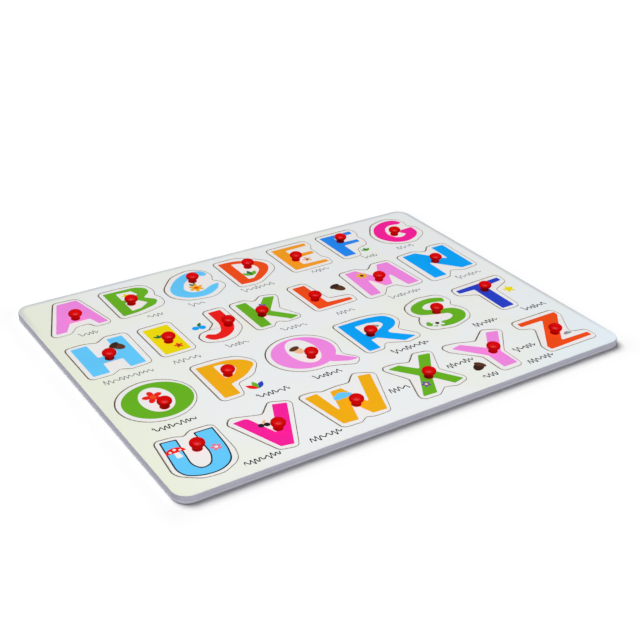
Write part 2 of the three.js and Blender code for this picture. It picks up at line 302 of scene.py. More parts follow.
facePrint = {
    "yellowed": paint(234, 238, 220),             # at the left end
    "warm": paint(236, 239, 240),                 # left half of the face
    "cool": paint(229, 240, 247),                 # towards the right corner
    "blotch": paint(235, 239, 216),
    "yellowTo": -95 * mm,                         # where the yellow ends, along the rows
    "turnFrom": 150 * mm,                         # slantwise, towards the near right corner
    "turnTo": 255 * mm,
    "rimShadeColour": paint(201, 204, 210),               # painted shade along the far and right rims, where the rounded rim turns away from the light
    "rimShadeWidth": (1.4 * mm, 4.2 * mm),
    "rimShadeLean": 0.6,                               # how much X counts beside Y, towards the far right
    "rimShadeFrom": -20 * mm,
    "rimShadeTo": 25 * mm,
    "blotchLeft": 0.4,                            # how strong the blotches are
    "blotchLess": 0.3,                            # and how much weaker at the right
}


def makeFacePrint(look):
    material, tree, shader, vector = newMaterial("facePrint")
    split = addNode(tree, 'ShaderNodeSeparateXYZ')
    tree.links.new(vector, split.inputs[0])
    slant = mathNode(tree, 'SUBTRACT', split.outputs['X'], split.outputs['Y'])
    along = rangeNode(tree, slant, look["turnFrom"], look["turnTo"], 0, 1)
    aged = rangeNode(tree, split.outputs['X'], boardLow.x, look["yellowTo"], 1, 0)
    colour = mixNode(tree, aged, mixNode(tree, along, look["warm"], look["cool"]), look["yellowed"])
    # painted shade: a grey ring along the rims, strongest towards the far right
    inner, outer = (boardCorner - width for width in reversed(look["rimShadeWidth"]))
    rimShadeRing = rangeNode(tree, distanceNode(tree, vector, boardCorner), inner, outer, 0, 1)
    leaning = mathNode(tree, 'MULTIPLY', split.outputs['X'], look["rimShadeLean"])
    across = mathNode(tree, 'ADD', leaning, split.outputs['Y'])
    paintedRimShade = mathNode(tree, 'MULTIPLY', rimShadeRing, rangeNode(tree, across, look["rimShadeFrom"], look["rimShadeTo"], 0, 1))
    colour = mixNode(tree, paintedRimShade, colour, look["rimShadeColour"])
    less = mathNode(tree, 'MULTIPLY', along, look["blotchLess"])
    fading = mathNode(tree, 'SUBTRACT', look["blotchLeft"], less)
    effect = placeGroup(tree, paperGroup, vector, {
        "Colour": colour, "Blotch Colour": look["blotch"], "Blotch": fading, "Tooth": 0.025,
        "Roughness": 0.46, "Gloss Spread": 0.07})
    connectSurface(tree, shader, effect, paperFinish)
    return material


inkColours = {
    "orchid": (243, 138, 228), "green": (104, 180, 34), "sky": (101, 204, 255), "vermilion": (243, 78, 24),
    "amber": (244, 176, 20), "tangerine": (247, 160, 32), "azure": (10, 166, 253), "cobalt": (36, 138, 244),
    "magenta": (248, 33, 158), "yellow": (240, 222, 8), "scarlet": (240, 30, 25), "royal": (42, 66, 202),
    "black": (30, 28, 32), "brown": (92, 54, 34), "umber": (58, 36, 28), "peach": (240, 190, 150),
    "rose": (236, 120, 150), "white": (240, 240, 238), "leaf": (40, 120, 60), "violet": (120, 80, 160),
    "grey": (150, 152, 158), "cream": (244, 228, 160), "pen": (38, 38, 42), "pencil": (118, 118, 122),
}
inkDepth = 0.86                                   # how dark the blotches in a printed colour are


def makeInk(name, colour):
    tint = paint(*colour)
    deeper = [c * inkDepth for c in tint[:3]] + [1.0]
    return paperMaterial(name + "Ink", tint, **{
        "Blotch Colour": deeper, "Blotch": 0.3, "Tooth": 0.05, "Roughness": 0.5, "Gloss Spread": 0.08})


pegLook = {
    "red": paint(234, 0, 2),
    "deep": paint(218, 0, 2),
    "flow": 160,                                  # waves in a metre
    "skin": 900,
    "roughness": (0.27, 0.34),
    "relief": (0.03, 0.1 * mm),                   # strength and depth
    "gloss": 0.08,
    "glossRoughness": 0.36,
}


def makePegPlastic(look):
    material, tree, shader, vector = newMaterial("pegPlastic")
    flow = noiseNode(tree, vector, look["flow"], 3)
    skin = noiseNode(tree, vector, look["skin"], 3)
    colour = mixNode(tree, rangeNode(tree, flow.outputs[0], 0.35, 0.65, 0, 1), look["red"], look["deep"])
    tree.links.new(colour, shader.inputs['Base Color'])
    rough = rangeNode(tree, skin.outputs[0], 0.3, 0.7, *look["roughness"])
    tree.links.new(rough, shader.inputs['Roughness'])
    shader.inputs['Specular IOR Level'].default_value = 0.0
    shader.inputs['Coat Weight'].default_value = look["gloss"]
    shader.inputs['Coat Roughness'].default_value = look["glossRoughness"]
    addRelief(tree, shader, flow.outputs[0], *look["relief"])
    return material


inks = {name: makeInk(name, colour) for name, colour in inkColours.items()}
facePaper = makeFacePrint(facePrint)
letterPaper = paperMaterial("letterPaper", paint(238, 238, 237), **{
    "Blotch Colour": paint(231, 230, 226), "Blotch": 0.3, "Tooth": 0.02, "Roughness": 0.45})
# darker than the back sheet's side: painted shade for a dark band below the rim
faceSide = fibreMaterial("faceSide", paint(194, 194, 209), paint(164, 164, 181), **{
    "Flecks": 0.22, "Streaks": 0.1, "Roughness": 0.55})
# its third colour is painted shade along the floor
backSide = fibreMaterial("backSide", paint(214, 214, 227), paint(182, 182, 197), paint(172, 172, 184), **{
    "Flecks": 0.22, "Streaks": 0.1, "Roughness": 0.55})
sawnEdge = fibreMaterial("sawnEdge", paint(218, 206, 192), paint(168, 148, 130), **{
    "Flecks": 0.3, "Streaks": 0.5, "Roughness": 0.8})
rawSheet = fibreMaterial("rawSheet", paint(206, 184, 156), paint(160, 130, 98), **{
    "Flecks": 0.5, "Streaks": 0.05, "Roughness": 0.75})
pegPlastic = makePegPlastic(pegLook)
print("materials ready:", len(bpy.data.materials))


# The two sheets and the letters, from the solids, with their edges broken

cleaning = {"merge": 0.002 * mm, "printMerge": 0.0005 * mm, "flat": math.radians(0.4)}
edgeTest = {"upright": 0.001 * mm, "wallBelow": 0.2, "flatAbove": 0.9}


def copyOfNode(node, name, cuts):                 # cuts: lines across it that keep holes out of flat faces
    piece = bpy.data.objects.new(name, frame["nodes"][node].data.copy())
    bpy.context.scene.collection.objects.link(piece)
    piece.data.materials.clear()
    selectOnly(piece)
    bpy.ops.mesh.customdata_custom_splitnormals_clear()
    bpy.ops.object.mode_set(mode='EDIT')
    bpy.ops.mesh.select_all(action='SELECT')
    bpy.ops.mesh.remove_doubles(threshold=cleaning["merge"])
    for height in cuts:
        bpy.ops.mesh.select_all(action='SELECT')
        bpy.ops.mesh.bisect(plane_co=(0, height, 0), plane_no=(0, 1, 0))
        bpy.ops.mesh.mark_seam()
    bpy.ops.mesh.select_all(action='SELECT')
    bpy.ops.mesh.dissolve_limited(angle_limit=cleaning["flat"], delimit={'SEAM'})
    bpy.ops.mesh.mark_seam(clear=True)
    bpy.ops.object.mode_set(mode='OBJECT')
    return piece


sheetEdges = {
    "easing": 0.3 * mm,                           # round the cut-outs and the letters
    "rimEasing": 0.12 * mm,
    "footEasing": 0.45 * mm,
    "steps": 2,
    "roundFrom": math.radians(5),                 # facets that meet at such an angle belong to a curve
    "roundTo": math.radians(31),
    "roundShare": 32,                             # of a facet, in percent
    "smoothBelow": math.radians(42),
    "rimBand": 3 * mm,                            # from the outline inwards
    "sideBand": 2 * mm,
    "footBand": 1 * mm,                           # from the floor upwards
    "flatFrom": 0.75,                             # a face is flat from this upright part of its normal
    "sideFrom": -0.95,                            # on the outer side the eased foot counts as side
    "sideTo": 0.6,                                # and the eased rim as face
    "cutShift": 2 * mm,                           # keeps a row's cut line off the letters' own corners
}


def isUpright(edge):
    low, high = edge.verts
    return (low.co.xy - high.co.xy).length < edgeTest["upright"]


def meetsFlat(edge):                              # an edge between a flat face and an upright one
    steep = sorted(abs(face.normal.z) for face in edge.link_faces)
    return steep[0] < edgeTest["wallBelow"] and steep[1] > edgeTest["flatAbove"]


def roundWalls(piece, look, inside):              # the facets of curved walls, made into curves
    bpy.ops.object.mode_set(mode='EDIT')
    selectEdges(piece, lambda edge: isUpright(edge) and inside(edge.verts[0].co)
                and look["roundFrom"] < edge.calc_face_angle(0) < look["roundTo"])
    bpy.ops.mesh.bevel(offset_type='PERCENT', offset_pct=look["roundShare"], segments=2, affect='EDGES')
    bpy.ops.object.mode_set(mode='OBJECT')


def easeRims(piece, look, easing, inside):
    bpy.ops.object.mode_set(mode='EDIT')
    selectEdges(piece, lambda edge: meetsFlat(edge) and inside(edge.verts[0].co))
    bpy.ops.mesh.bevel(offset=look[easing], segments=look["steps"], affect='EDGES')
    bpy.ops.object.mode_set(mode='OBJECT')


def shadeFlatFaces(piece):
    selectOnly(piece)
    bpy.ops.object.shade_smooth_by_angle(angle=sheetEdges["smoothBelow"])
    applyModifier(piece, 'WEIGHTED_NORMAL', keep_sharp=True, weight=100)


def rimDistance(place):                           # how far inside the board's outline a point lies
    half = boardHigh.xy - Vector((boardCorner, boardCorner))
    out = Vector((max(abs(place.x) - half.x, 0), max(abs(place.y) - half.y, 0)))
    if out.length > 0:
        return boardCorner - out.length
    return boardCorner + min(half.x - abs(place.x), half.y - abs(place.y))


def sheetSide(face, look):                        # 0 top, 1 outer side, 2 inner wall, 3 underside
    upright = face.normal.z
    if rimDistance(face.center) < look["sideBand"]:
        if look["sideFrom"] < upright < look["sideTo"]:
            return 1
    elif abs(upright) < look["flatFrom"]:
        return 2
    return 0 if upright > 0 else 3


def makeSheet(node, name, look, materials, cuts):   # materials: top, outer side, inner wall, underside
    sheet = copyOfNode(node, name, cuts)
    addMaterials(sheet, *materials)

    def inner(place):
        return rimDistance(place) > look["rimBand"]

    def foot(place):
        return place.z < look["footBand"]

    roundWalls(sheet, look, inner)
    easeRims(sheet, look, "footEasing", foot)
    easeRims(sheet, look, "rimEasing", lambda place: not inner(place) and not foot(place))
    easeRims(sheet, look, "easing", inner)
    for face in sheet.data.polygons:
        face.material_index = sheetSide(face, look)
    shadeFlatFaces(sheet)
    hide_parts(node)
    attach(sheet, "board")
    return sheet


def rowCut(key):                                  # across the middle of a letter's row
    low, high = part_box("letter_" + key)
    return (low.y + high.y) / 2 + sheetEdges["cutShift"]


rowCuts = [rowCut(key) for key in "AHOV"]
faceLook = [facePaper, faceSide, sawnEdge, rawSheet]
faceSheet = makeSheet("pocket_board", "faceSheet", sheetEdges, faceLook, rowCuts)
backSheet = makeSheet("back_board", "backSheet", sheetEdges, [rawSheet, backSide, backSide, rawSheet], [])
print("sheets:", len(faceSheet.data.polygons), len(backSheet.data.polygons), "faces")


# Flat print: outlines in millimetres, filled, a few hundredths thick

printLayer = {
    "sunk": 0.012,
    "first": 0.022,
    "step": 0.005,
    "cornerRadius": 0.8,
    "cornerReach": 0.48,                          # of the shorter edge at a corner
    "curveRadius": 3.0,                           # a corner this round that turns little is part of a curve
    "curveTurn": math.radians(62),
    "bendStep": math.radians(7),
}
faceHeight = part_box("pocket_board")[1].z / mm


def softLoop(corners, grow=0.0):                  # corners (x, y) or (x, y, radius); grow moves them out
    places = [Vector(corner[:2]) for corner in corners]
    area = sum(places[i - 1].x * here.y - places[i - 1].y * here.x for i, here in enumerate(places))
    loop = []
    for i, corner in enumerate(corners):
        comes = places[i] - places[i - 1]
        goes = places[(i + 1) % len(places)] - places[i]
        reach = printLayer["cornerReach"] * min(comes.length, goes.length)
        comes.normalize()
        goes.normalize()
        outward = math.copysign(1, area)
        lean = Vector((comes.y + goes.y, -comes.x - goes.x)) * outward
        here = places[i] + lean * (grow / (1 + comes.dot(goes)))
        turn = comes.angle(goes)
        radius = corner[2] if len(corner) > 2 else printLayer["cornerRadius"]
        cut = min(radius * math.tan(turn / 2), reach)
        if radius >= printLayer["curveRadius"] and turn < printLayer["curveTurn"]:
            cut = reach
        start = here - comes * cut
        end = here + goes * cut
        steps = max(1, round(turn / printLayer["bendStep"]))
        for k in range(steps + 1):
            u = k / steps
            loop.append(start * (1 - u) ** 2 + here * 2 * u * (1 - u) + end * u * u)
    return loop


def oval(x, y, wide, high, turn=0.0, sides=40):
    cosine, sine = math.cos(turn), math.sin(turn)
    loop = []
    for k in range(sides):
        angle = 2 * math.pi * k / sides
        across, along = wide * math.cos(angle), high * math.sin(angle)
        loop.append(Vector((x + across * cosine - along * sine, y + across * sine + along * cosine)))
    return loop


def leafLoop(x, y, length, width, turn, sides=10):   # pointed at both ends, from (x, y) outwards
    cosine, sine = math.cos(turn), math.sin(turn)
    upper = [(length * k / sides, 0.5 * width * math.sin(math.pi * k / sides)) for k in range(sides + 1)]
    lower = [(along, -across) for along, across in reversed(upper[1:-1])]
    return [Vector((x + a * cosine - b * sine, y + a * sine + b * cosine)) for a, b in upper + lower]


def starLoop(x, y, radius, points=5, waist=0.45):
    corners = []
    for k in range(2 * points):
        angle = math.pi / 2 + math.pi * k / points
        reach = radius if k % 2 == 0 else radius * waist
        corners.append((x + reach * math.cos(angle), y + reach * math.sin(angle), radius * 0.08))
    return softLoop(corners)


penHand = {
    "waveLength": 3.1,
    "stepsInWave": 14,
    "swell": (0.56, 0.2, 0.16),                   # how tall the waves are: evenly, and by two slow changes
    "tallStart": 0.45,
    "drift": 0.9,
    "press": (0.85, 0.25),                        # how wide the stroke is: evenly, and by turns
}


def penLoop(fromX, toX, y, height, width):        # a wavy pen stroke, uneven as by hand
    waves = max(2, round((toX - fromX) / penHand["waveLength"]))
    steps = waves * penHand["stepsInWave"]
    even, slow, quick = penHand["swell"]
    line = []
    for k in range(steps + 1):
        u = k / steps
        swell = even + slow * math.sin(2.1 * waves * u + fromX) + quick * math.sin(3.7 * waves * u + y)
        swell += penHand["tallStart"] * max(0, 1 - 0.8 * waves * u)
        sway = 2 * math.pi * waves * u + penHand["drift"] * math.sin(1.6 * waves * u + fromX)
        line.append(Vector((fromX + (toX - fromX) * u, y + 0.5 * height * swell * math.sin(sway))))
    upper, lower = [], []
    for k, place in enumerate(line):
        course = line[min(k + 1, steps)] - line[max(k - 1, 0)]
        press = penHand["press"][0] + penHand["press"][1] * math.sin(0.9 * k + fromX)
        side = Vector((0, press * width / 2 * course.length / course.x))
        upper.append(place + side)
        lower.append(place - side)
    return upper + lower[::-1]


def flatPrint(name, shapes, origin):              # shapes: (ink name, loops), laid one on the other
    made = []
    for layer, (ink, loops) in enumerate(shapes):
        curve = bpy.data.curves.new(name, 'CURVE')
        curve.dimensions = '2D'
        curve.fill_mode = 'BOTH'
        for loop in loops:
            spline = curve.splines.new('POLY')
            spline.points.add(len(loop) - 1)
            for point, place in zip(spline.points, loop):
                point.co = (place.x, place.y, 0, 1)
            spline.use_cyclic_u = True
        top = printLayer["first"] + printLayer["step"] * layer
        curve.extrude = (top + printLayer["sunk"]) / 2
        stamp = bpy.data.objects.new(name, curve)
        bpy.context.scene.collection.objects.link(stamp)
        selectOnly(stamp)
        bpy.ops.object.convert(target='MESH')
        stamp = bpy.context.view_layer.objects.active
        middle = faceHeight + (top - printLayer["sunk"]) / 2
        stamp.data.transform(Matrix.Translation((origin.x, origin.y, middle)))
        stamp.data.transform(Matrix.Scale(mm, 4))
        addMaterials(stamp, inks[ink])
        made.append(stamp)
    bpy.ops.object.select_all(action='DESELECT')
    for stamp in made:
        stamp.select_set(True)
    bpy.context.view_layer.objects.active = made[0]
    if len(made) > 1:
        bpy.ops.object.join()
    whole = made[0]
    bpy.ops.object.mode_set(mode='EDIT')
    bpy.ops.mesh.select_all(action='SELECT')
    bpy.ops.mesh.remove_doubles(threshold=cleaning["printMerge"])
    bpy.ops.mesh.normals_make_consistent(inside=False)
    bpy.ops.object.mode_set(mode='OBJECT')
    selectOnly(whole)
    bpy.ops.object.shade_flat()
    return whole


# Small generic motifs; each gives shapes for flatPrint

def flower(x, y, size, petal, heart, petals=5):
    shapes = []
    for k in range(petals):
        turn = 2 * math.pi * (k + 0.3) / petals
        far = 0.58 * size
        shapes.append((petal, [oval(x + far * math.cos(turn), y + far * math.sin(turn),
                                    0.44 * size, 1.5 * size / petals, turn, 20)]))
    return shapes + [(heart, [oval(x, y, 0.3 * size, 0.3 * size, 0, 20)])]


def sprig(x, y, size, leaves, turn=math.pi / 2):  # leaves fan out from one foot
    shapes = []
    for k, ink in enumerate(leaves):
        lean = turn + (k - (len(leaves) - 1) / 2) * 0.75
        shapes.append((ink, [leafLoop(x, y, size, 0.42 * size, lean)]))
    return shapes


def toadstool(x, y, size, cap, stem, dot):
    dome = oval(x, y, 0.62 * size, 0.5 * size, 0, 32)[:17]
    stalk = softLoop([(x - 0.2 * size, y - 0.55 * size), (x + 0.2 * size, y - 0.55 * size),
                      (x + 0.14 * size, y + 0.05 * size), (x - 0.14 * size, y + 0.05 * size)])
    dots = [(dot, [oval(x + a * size, y + b * size, c * size, c * size, 0, 14)])
            for a, b, c in ((-0.3, 0.16, 0.09), (0.02, 0.3, 0.1), (0.31, 0.15, 0.08))]
    return [(stem, [stalk]), (cap, [dome])] + dots


def acorn(x, y, size, nut, cap, turn=0.0):
    across = Vector((math.cos(turn), math.sin(turn)))
    top = Vector((x, y)) + across * 0.3 * size
    return [(nut, [oval(x, y, 0.55 * size, 0.36 * size, turn, 28)]),
            (cap, [oval(top.x, top.y, 0.24 * size, 0.44 * size, turn, 24)])]


def cloud(x, y, size, ink):
    puffs = ((-0.42, -0.06, 0.27), (0.0, 0.06, 0.38), (0.42, -0.06, 0.25))
    return [(ink, [oval(x + a * size, y + b * size, 1.25 * c * size, c * size, 0, 24)])
            for a, b, c in puffs]


def berries(x, y, size, ink, leaf):
    fruit = [(ink, [oval(x + a * size, y + b * size, 0.32 * size, 0.32 * size, 0, 24)])
             for a, b in ((-0.3, 0), (0.3, -0.12))]
    return [(leaf, [leafLoop(x, y + 0.1 * size, 0.8 * size, 0.34 * size, 0.9)])] + fruit


def star(x, y, size, ink):
    return [(ink, [starLoop(x, y, size)])]


# Each letter's print: ink, where its peg stands and its outline, from the left end of its base line
letterPrints = {
    "A": {"ink": "orchid", "peg": (17.96, 14.9), "form": [
        [(0.3, 2), (7, 1.6), (12.5, 10.5, 1.5), (25.5, 10.5, 1.5), (28, 2), (34, 2.3), (27.3, 36.8),
         (14.3, 36.8)]]},
    "B": {"ink": "green", "peg": (10.86, 14.8), "form": [
        [(0, 2.2), (10, 2.6, 3), (24, 6.5, 5), (27.8, 12.2, 4), (21, 18.6, 1.5), (27.6, 24, 4),
         (27.5, 30, 4), (22, 34, 4), (0, 34.8)],
        [(7.5, 21), (15, 20.5), (19.5, 25), (17.5, 30.5), (7.5, 31.3)],
        [(7.5, 5.8), (14, 6.8), (20.5, 11.5), (17, 16.5), (7.5, 17.5)]],
        "motifs": flower(12.4, 26, 3, "yellow", "amber")},
    "C": {"ink": "sky", "peg": (19.64, 22.5), "form": [
        [(33.5, 12.5), (30, 6, 4), (20, 0, 9), (8, 2, 9), (0.3, 10, 9), (1, 19, 10), (10, 30, 10),
         (21, 35.5, 9), (31, 33.5, 4), (33, 28, 2), (30.5, 25.5, 1), (24, 28.5, 6), (14, 24, 8),
         (9, 14, 7), (12, 8.5, 4), (19, 7, 6), (28, 12, 3)]],
        "motifs": sprig(17.5, 15.5, 5, ["leaf", "leaf"]) + flower(17.5, 13, 5, "amber", "vermilion", 6)},
    "D": {"ink": "vermilion", "peg": (15.89, 22.1), "form": [
        [(0, 2), (12, 0.8, 4), (25, 10, 9), (30.3, 19.5, 8), (25.5, 28, 9), (12, 34.8, 6), (0, 35)],
        [(7.8, 6.5, 1), (12, 6.5, 2), (21, 15, 6), (22, 20.5, 5), (17, 28.5, 6), (7.8, 31, 1)]],
        "motifs": sprig(12.5, 10, 7.5, ["green", "leaf", "green"])},
    "E": {"ink": "tangerine", "peg": (8.39, 14.9), "form": [
        [(0.3, 1.5), (27, 1.8), (26.5, 5.5), (9.3, 6.5, 1), (9.3, 16.8, 1), (25, 17.5), (25, 21.3),
         (9.3, 21.8, 1), (9.3, 30, 1), (26.5, 30.5), (27.2, 34.3), (0.3, 34.6)]],
        "motifs": flower(15.5, 11.7, 3.4, "peach", "brown")},
    "F": {"ink": "cobalt", "peg": (10.46, 23.5), "form": [
        [(0, 1.5), (9, 1.5), (9.3, 16.5, 1), (22.5, 16.8), (22.8, 20.8), (9.3, 21.5, 1), (9.3, 30, 1),
         (25, 30.3), (25.4, 34.4), (0, 34.6)]]},
    "G": {"ink": "magenta", "peg": (13.32, 13.6), "form": [
        [(31.5, 18, 1.5), (31, 9, 5), (24, 2.5, 5), (14, -0.3, 8), (5, 3.5, 8), (0, 12, 9), (0.3, 20, 10),
         (7, 31, 10), (19, 35.7, 9), (27.5, 34, 4), (30, 28, 2), (26.5, 26.5, 1), (19, 28.5, 6),
         (12, 24, 7), (9, 15, 7), (12, 8.5, 4), (17, 7.5, 4), (22, 11, 2), (19, 13.5, 1), (20.5, 17, 1)]],
        "motifs": star(18.6, 22.6, 3.4, "cream")},
    "H": {"ink": "sky", "peg": (16.45, 16.4), "form": [
        [(0.3, 2), (10.5, 1.8), (10.8, 12.5, 1), (23, 12.5, 1), (23.2, 1.8), (33, 2.2), (33.3, 37),
         (23.5, 37.3), (23.2, 20, 1), (10.8, 20, 1), (10.5, 36), (0.3, 36)]],
        "motifs": acorn(26, 26.5, 9, "brown", "umber", 2.2)},
    "I": {"ink": "yellow", "peg": (8.33, 16), "form": [[(0, 2.8), (16.6, 2.8), (16.6, 35), (0, 35)]],
          "motifs": sprig(5.6, 22, 4.5, ["leaf", "leaf", "leaf"])
          + flower(11.5, 9, 2.8, "vermilion", "brown")},
    "J": {"ink": "scarlet", "peg": (20.15, 15.5), "form": [
        [(24.8, 34.8), (24.8, 17, 8), (20, 7, 7), (11, 2.2, 6), (3, 3.5, 4), (0.5, 9, 1.5),
         (3.5, 11.5, 1.5), (8, 8.8, 2), (12.5, 10.5, 3), (16, 18, 5), (16.3, 34.8)]]},
    "K": {"ink": "green", "peg": (9.25, 15.3), "form": [
        [(0.8, 1.8), (8.3, 1.8), (8.5, 12, 1), (11.5, 14, 1), (22.5, 2), (28.8, 3.5), (16.5, 17.5, 2),
         (28.5, 33), (21.5, 34.8), (9, 20.5, 2), (8.3, 34.5), (0.8, 34.5)]],
        "motifs": flower(15, 25, 3.4, "violet", "grey")},
    "L": {"ink": "vermilion", "peg": (5.45, 15.3), "form": [
        [(0.8, 3.3), (26.8, 3.6), (26.5, 7), (10.5, 8.5, 1.5), (9.6, 35.2), (0.5, 35.2)]]},
    "M": {"ink": "orchid", "peg": (18.91, 16.9), "form": [
        [(1.4, 1), (9.3, 1), (12.3, 22, 1.5), (18, 8, 1), (23.5, 8, 1), (30, 22, 1.5), (31.8, 1.8),
         (40.8, 2), (39, 35.7), (30.5, 36), (21, 20.5, 1), (12.5, 35.3), (4, 35.3)]],
        "motifs": flower(12.5, 27.5, 4.4, "amber", "umber", 7)},
    "N": {"ink": "azure", "peg": (17.37, 19.4), "form": [
        [(2, 0), (12, 0), (12.5, 21, 1.5), (27.5, 3, 1), (37.5, 3.2), (38, 37.8), (28.5, 38),
         (28.2, 18, 1.5), (13, 36.8, 1), (2, 36.3)]]},
    "O": {"ink": "green", "peg": (20.91, 9.8), "ovals": [(20.7, 17.8, 20.3, 17.8), (20.3, 18.4, 9.5, 12.8)],
          "motifs": flower(19.6, 21.5, 6, "scarlet", "vermilion")},
    "P": {"ink": "amber", "peg": (13.34, 20.6), "form": [
        [(0.3, 0), (10, 0), (10.3, 11, 1.5), (22, 14.5, 7), (32.8, 24, 4), (30, 30, 5), (21, 35.3, 7),
         (0.5, 35.8)],
        [(10.3, 18, 1), (16, 18.5, 4), (21.5, 24.5, 4), (20, 30, 4), (15, 32.5, 4), (10.3, 32.5, 1)]]},
    "Q": {"ink": "orchid", "peg": (21.6, 12.7), "ovals": [(20.2, 19, 19.8, 17.5), (20.9, 20.6, 9.2, 14.1)],
          "tail": [(26, 6), (30, 1.5), (38, -2.3), (43.5, -2.8, 0.6), (44, -1.4, 0.6), (36.5, 6.3, 2),
                   (33, 9)],
          "motifs": acorn(18.5, 23, 8.5, "peach", "brown", 1.9)},
    "R": {"ink": "azure", "peg": (11.95, 15.8), "form": [
        [(0.3, 0), (8.5, 0), (8.8, 10.5, 1), (13.5, 10.8, 1), (26, -0.3), (35.5, 1.2), (22, 13.5, 2.5),
         (32, 17.5, 6), (36.2, 24, 5), (33, 31.5, 6), (22, 34.2, 6), (0.3, 34.2)],
        [(9, 17.5, 1), (20, 18, 3.5), (26.5, 22.5, 3), (25.5, 26.5, 3), (18, 28.5, 2), (9, 28.5, 1)]],
        "motifs": cloud(19.5, 23, 5, "grey")},
    "S": {"ink": "green", "peg": (16.23, 17.6), "form": [
        [(0.2, 6.5, 1.2), (8, 1, 6), (18, -0.3, 7), (28, 2.5, 7), (33, 10, 6), (29.5, 17, 6),
         (18, 20.5, 5), (12, 23, 3), (11.5, 26.5, 3), (16, 29.5, 4), (24, 29, 3), (29.5, 26, 1),
         (31.5, 31, 2), (25, 34.5, 5), (17, 35, 6), (7, 32, 6), (2.3, 26, 6), (4.5, 19.5, 5),
         (14, 15.5, 5), (22.5, 13, 4), (23, 9, 3), (18, 6.3, 4), (10, 7, 3), (2.5, 10.5, 1.2)]],
        "motifs": flower(8, 6.2, 4.6, "white", "black", 6)},
    "T": {"ink": "royal", "peg": (17.82, 25.2), "form": [
        [(11.5, 0), (21, 0), (21.5, 28.8, 1), (36.2, 30.6), (36.5, 34.7), (0.5, 33.3), (0.3, 29.2),
         (12.3, 28.9, 1)]]},
    "U": {"ink": "sky", "peg": (17.8, 21.7), "outline": 0.4, "form": [
        [(0.2, 10, 4), (2.5, 4, 4), (10, 0, 5), (20, -0.8, 7), (28.5, 4, 7), (31.8, 14, 8), (33.2, 34.5),
         (22.8, 34.9), (22, 14, 7), (18, 6.5, 4.5), (12, 5.5, 4), (9, 11, 5), (11.9, 34.2), (3.3, 35.4)]],
        "motifs": toadstool(7, 24, 9, "scarlet", "white", "white")
        + flower(26.8, 18, 3.2, "rose", "white")},
    "V": {"ink": "magenta", "peg": (18.7, 15.8), "form": [
        [(11.5, 1), (18.7, -0.5), (35.5, 34.3), (27.5, 37), (16.2, 12.5, 1), (9, 32.3, 4), (0.3, 32)]],
        "motifs": berries(13.9, 22.4, 5.4, "black", "peach")},
    "W": {"ink": "amber", "peg": (21.2, 13.2), "form": [
        [(4.8, 1.2), (14, 0.3), (19.3, 16, 1.2), (24.3, 1.5), (33.2, 0.8), (45.8, 35), (38.2, 36.7),
         (28.5, 11, 1.2), (23, 31, 1), (15.8, 31, 1), (10.2, 10.5, 1.2), (8.2, 33.2), (0, 32.5)]],
        "motifs": cloud(19.4, 24, 8, "sky")},
    "X": {"ink": "green", "peg": (16.6, 15.3), "form": [
        [(1.3, 0), (10.5, -0.5), (17.8, 13.5, 1.5), (25.3, 2), (32.8, 3.6), (22.2, 19.5, 1.5),
         (33.2, 35.5), (25.5, 37), (17.3, 24.5, 1.5), (9, 33.7), (1, 33.2), (12.5, 18.5, 1.5)]],
        "motifs": flower(10.4, 9.4, 3, "violet", "cream")},
    "Y": {"ink": "orchid", "peg": (21.5, 17.7), "form": [
        [(15.7, 0.8), (25.8, 0.8), (25.8, 15.5, 2), (40.3, 35), (32.3, 37), (21.5, 22, 1.2), (9.5, 33.5),
         (2, 32.3), (16, 15.3, 2)]]},
    "Z": {"ink": "vermilion", "peg": (16, 15.1), "form": [
        [(0.8, 1.3), (34, 1.8), (33.8, 5.6), (13.5, 6.3, 1), (33.5, 31.5, 1), (33.8, 34.8), (3.3, 34.8),
         (3, 30.7), (20, 30.3, 1), (0.6, 5, 1)]],
        "motifs": cloud(22.6, 11.0, 4, "grey")},
}


def pegCentre(key):
    low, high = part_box("peg_" + key)
    return (low + high).xy / 2


def letterOrigin(key):                            # the left end of its base line, in millimetres
    return pegCentre(key) / mm - Vector(letterPrints[key]["peg"])


def inkShapes(look):
    loops = [softLoop(corners) for corners in look.get("form", [])]
    loops += [oval(*sizes, sides=72) for sizes in look.get("ovals", [])]
    shapes = [(look["ink"], loops)]
    if "tail" in look:
        shapes.append((look["ink"], [softLoop(look["tail"])]))
    if "outline" in look:
        shapes.append(("black", [softLoop(look["form"][0], side * look["outline"]) for side in (1, -1)]))
    return shapes + look.get("motifs", [])


def makeLetter(key):
    node = "letter_" + key
    letter = copyOfNode(node, "letterPiece" + key, [pegCentre(key).y])
    addMaterials(letter, letterPaper, sawnEdge, rawSheet)
    roundWalls(letter, sheetEdges, lambda place: True)
    easeRims(letter, sheetEdges, "easing", lambda place: True)
    for face in letter.data.polygons:
        if abs(face.normal.z) < sheetEdges["flatFrom"]:
            face.material_index = 1
        else:
            face.material_index = 0 if face.normal.z > 0 else 2
    shadeFlatFaces(letter)
    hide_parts(node)
    ink = flatPrint("letterPrint" + key, inkShapes(letterPrints[key]), letterOrigin(key))
    for piece in (letter, ink):
        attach(piece, "piece_" + key)


for key in alphabet:
    makeLetter(key)
print("letters and their print:", len(alphabet))


# Pen strokes and motifs on the board, in millimetres from its near left corner

